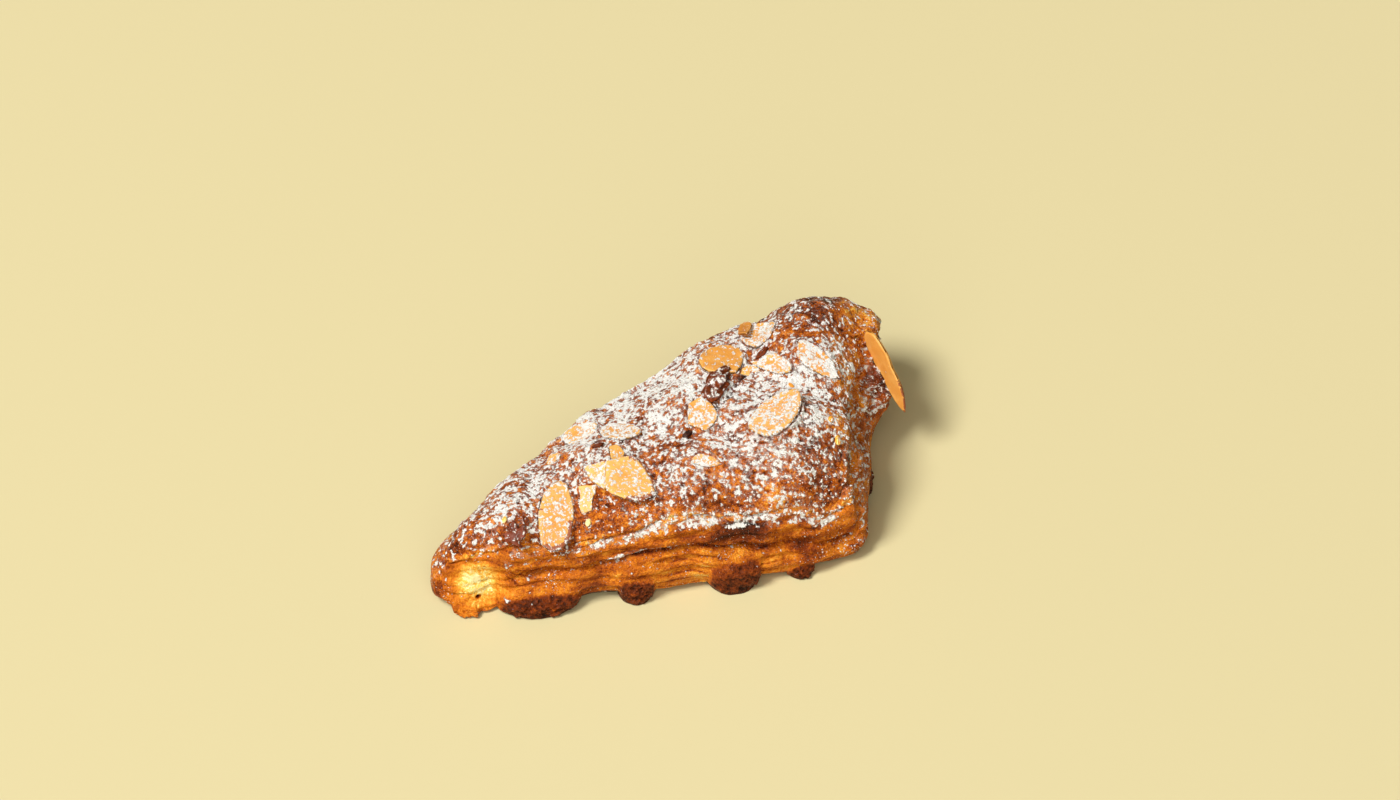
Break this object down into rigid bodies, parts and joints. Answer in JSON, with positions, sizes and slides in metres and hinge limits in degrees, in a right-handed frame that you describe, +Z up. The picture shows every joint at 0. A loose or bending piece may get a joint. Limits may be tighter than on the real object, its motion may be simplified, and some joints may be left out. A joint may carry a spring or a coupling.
{
  "type": "bear claw pastry",
  "caption": "Baked wedge of rolled laminated dough with an almond cream crust, sliced almonds and a narrow rolled tip.",
  "frame": {"origin": "in the flat underside, near the middle of the pastry", "axes": "+X along the layered front side, from the narrow rolled tip to the blunt end; +Y to the slanting back; +Z up"},
  "size_m": [0.1539, 0.091, 0.0487],
  "materials": {
    "dough": "baked laminated dough, golden to dark brown, buttery satin",
    "cream": "baked almond cream crust, brown, granular, dusted with icing sugar",
    "almond": "toasted sliced almond, pale tan, smooth",
    "crumb": "burnt crumb, nearly black, wrinkled"
  },
  "bodies": {
    "root": {"dough": "dough", "almond_cream": "cream", "almond_slice_01": "almond", "almond_slice_02": "almond", "almond_slice_03": "almond", "almond_slice_04": "almond", "almond_slice_05": "almond", "almond_slice_06": "almond", "almond_slice_07": "almond", "almond_slice_08": "almond", "almond_slice_09": "almond", "almond_slice_10": "almond", "almond_slice_11": "almond", "almond_slice_12": "almond", "almond_slice_13": "almond", "almond_slice_14": "almond", "almond_slice_15": "almond", "almond_slice_16": "almond", "almond_slice_17": "almond", "almond_slice_18": "almond", "almond_slice_19": "almond", "almond_slice_20": "almond", "dark_crumb": "crumb"}
  },
  "joints": []
}
